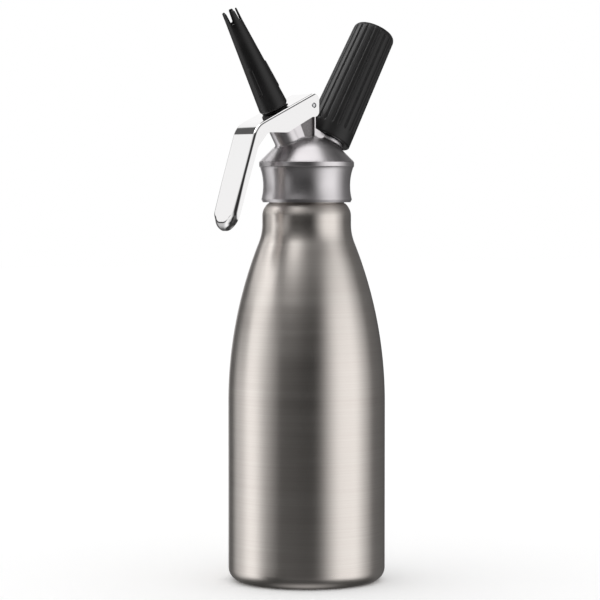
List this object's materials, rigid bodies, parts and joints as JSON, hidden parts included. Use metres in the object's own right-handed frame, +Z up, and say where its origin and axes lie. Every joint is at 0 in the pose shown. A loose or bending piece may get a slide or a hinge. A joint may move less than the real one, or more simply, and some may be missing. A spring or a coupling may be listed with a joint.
{
  "type": "cream whipper",
  "caption": "Hand-held cream whipper: steel bottle, screw-on head with squeeze lever and tined nozzle on a sprung valve, and a fluted holder for a gas charger.",
  "frame": {"origin": "middle of the bottle's flat base, on the bottle's axis", "axes": "+Z up the bottle's axis, -X towards the lever and nozzle, +X towards the charger holder, Y along the hinge pin"},
  "size_m": [0.1173, 0.092, 0.3338],
  "materials": {
    "bottle_steel": "fine circumferential brushing",
    "head_alloy": "satin turned casting",
    "lever_chrome": "polished plating",
    "steel": "bright drawn",
    "plated_metal": "satin plating",
    "black_plastic": "satin moulded",
    "pale_plastic": "turned acetal",
    "black_rubber": "matt moulded"
  },
  "bodies": {
    "bottle": {"bottle": "bottle_steel"},
    "gasket": {"head_gasket": "black_rubber"},
    "head": {"head": "head_alloy", "valve_bush": "pale_plastic", "return_spring": "steel", "hinge_pin": "steel", "inlet_spigot": "plated_metal", "pin_carrier": "plated_metal", "pierce_pin": "steel", "check_valve": "black_rubber", "inlet_gasket": "black_rubber"},
    "lever": {"lever": "lever_chrome"},
    "valve": {"valve_stem": "plated_metal", "stem_collar": "black_plastic", "lower_stem_ring": "black_rubber", "upper_stem_ring": "black_rubber", "valve_seal": "black_rubber", "seal_nut": "steel"},
    "washer": {"nozzle_washer": "black_rubber"},
    "nozzle": {"nozzle": "black_plastic"},
    "charger": {"gas_charger": "steel"},
    "holder": {"holder_grip": "black_plastic", "holder_liner": "plated_metal", "holder_pad": "black_rubber"}
  },
  "joints": [
    {"name": "head_lift", "type": "slide", "parent": "bottle", "child": "gasket", "axis": [0, 0, 1], "range_m": [0, 0.0096]},
    {"name": "head_turn", "type": "hinge", "parent": "gasket", "child": "head", "pos_m": [0, 0, 0.2222], "axis": [0, 0, 1], "range_deg": [0, 1080]},
    {"name": "lever_squeeze", "type": "hinge", "parent": "head", "child": "lever", "pos_m": [-0.0025, 0, 0.2785], "axis": [0, -1, 0], "range_deg": [0, 7], "stiffness_Nm_per_rad": 0.6, "springref_deg": -2.86},
    {"name": "valve_press", "type": "slide", "parent": "head", "child": "valve", "axis": [0.4802, 0, -0.8771], "range_m": [0, 0.00223], "deforming": ["return_spring"]},
    {"name": "nozzle_lift", "type": "slide", "parent": "valve", "child": "washer", "axis": [-0.4802, 0, 0.8771], "range_m": [0, 0.006]},
    {"name": "nozzle_turn", "type": "hinge", "parent": "washer", "child": "nozzle", "pos_m": [-0.0219, 0, 0.27595], "axis": [-0.4802, 0, 0.8771], "range_deg": [0, 1440]},
    {"name": "charger_draw", "type": "slide", "parent": "head", "child": "charger", "axis": [0.4679, 0, 0.8838], "range_m": [0, 0.01]},
    {"name": "holder_turn", "type": "hinge", "parent": "charger", "child": "holder", "pos_m": [0.01395, 0, 0.259], "axis": [0.4679, 0, 0.8838], "range_deg": [0, 1800]}
  ],
  "couplings": [
    {"joint": "head_lift", "follows": "head_turn", "m_per_rad": 0.0005093},
    {"joint": "valve_press", "follows": "lever_squeeze", "m_per_rad": 0.018241},
    {"joint": "nozzle_lift", "follows": "nozzle_turn", "m_per_rad": 0.00023873},
    {"joint": "charger_draw", "follows": "holder_turn", "m_per_rad": 0.00031831}
  ]
}
